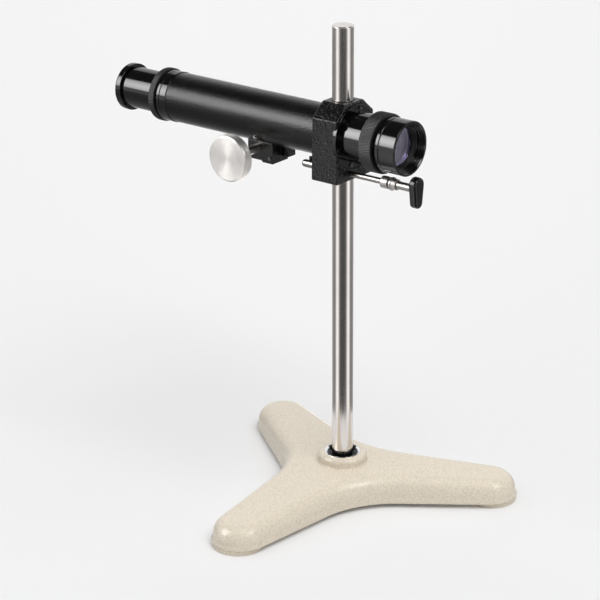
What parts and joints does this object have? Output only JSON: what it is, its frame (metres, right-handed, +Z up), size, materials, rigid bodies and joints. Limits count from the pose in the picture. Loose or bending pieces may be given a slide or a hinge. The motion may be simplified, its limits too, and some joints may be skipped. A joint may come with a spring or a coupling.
{
  "type": "reading telescope",
  "caption": "Reading telescope on a pillar stand: legged cast base, swivelling clamp block with locking lever, knurled lock rings and an eyepiece tube focused by rack and pinion.",
  "frame": {"origin": "on the floor, under the axis of the pillar", "axes": "+Z up along the pillar, +X along the telescope towards its objective, +Y away from the side with the focus knob"},
  "size_m": [0.3262, 0.2168, 0.365],
  "materials": {
    "enamel": "gloss hammertone enamel",
    "nickel": "polished nickel plate",
    "chrome": "mirror chrome",
    "hammertone": "black hammertone enamel",
    "satin_black": "satin black enamel",
    "gloss_black": "gloss black enamel",
    "matt_black": "matte blackened",
    "alloy": "turned satin",
    "brass": "plain turned",
    "lens_glass": "coated, polished",
    "handle_black": "gloss"
  },
  "bodies": {
    "stand": {"base_casting": "enamel", "foot_pads": "enamel", "pillar_ring": "chrome", "pillar": "nickel", "pillar_washer": "nickel", "pillar_screw": "nickel"},
    "head": {"clamp_block": "hammertone", "scale_rod": "nickel", "main_tube": "satin_black", "tube_baffle": "matt_black", "end_collar": "gloss_black", "barrel": "gloss_black", "flange_screws": "nickel", "objective_cell": "gloss_black", "flint_lens": "lens_glass", "crown_lens": "lens_glass", "lens_retainer": "matt_black", "pinion_housing": "hammertone", "housing_plate": "satin_black", "plate_screws": "nickel", "stop_screw": "nickel"},
    "barrel_ring": {"barrel_lock_ring": "matt_black"},
    "draw_ring": {"draw_lock_ring": "matt_black"},
    "draw": {"draw_tube": "gloss_black", "rack": "brass", "guide_ring": "brass", "crosswire_ring": "brass"},
    "eyepiece": {"eyepiece_body": "gloss_black", "field_lens": "lens_glass", "field_lens_ring": "matt_black", "eye_lens": "lens_glass", "eye_lens_ring": "matt_black"},
    "focus": {"pinion_shaft": "nickel", "focus_knob": "alloy"},
    "lever": {"clamp_spindle": "nickel", "stop_pin": "matt_black", "shank_collar": "nickel", "lever_shank": "nickel", "lever_handle": "handle_black"}
  },
  "joints": [
    {"name": "head_swivel", "type": "hinge", "parent": "stand", "child": "head", "pos_m": [0, 0, 0.2529], "axis": [0, 0, 1], "continuous": true},
    {"name": "barrel_ring_turn", "type": "hinge", "parent": "head", "child": "barrel_ring", "pos_m": [0.0354, 0, 0.2845], "axis": [1, 0, 0], "range_deg": [0, 120]},
    {"name": "draw_ring_turn", "type": "hinge", "parent": "head", "child": "draw_ring", "pos_m": [-0.1687, 0, 0.2845], "axis": [1, 0, 0], "range_deg": [0, 90]},
    {"name": "draw_slide", "type": "slide", "parent": "head", "child": "draw", "axis": [-1, 0, 0], "range_m": [-0.028, 0.036]},
    {"name": "focus_turn", "type": "hinge", "parent": "head", "child": "focus", "pos_m": [-0.0732, 0, 0.26206], "axis": [0, -1, 0], "range_deg": [-290, 370]},
    {"name": "eyepiece_slide", "type": "slide", "parent": "draw", "child": "eyepiece", "axis": [-1, 0, 0], "range_m": [0, 0.008]},
    {"name": "lever_turn", "type": "hinge", "parent": "head", "child": "lever", "pos_m": [0, -0.007, 0.2585], "axis": [1, 0, 0], "range_deg": [-90, 0]}
  ],
  "couplings": [
    {"joint": "focus_turn", "follows": "draw_slide", "rad_per_m": 178.57}
  ]
}
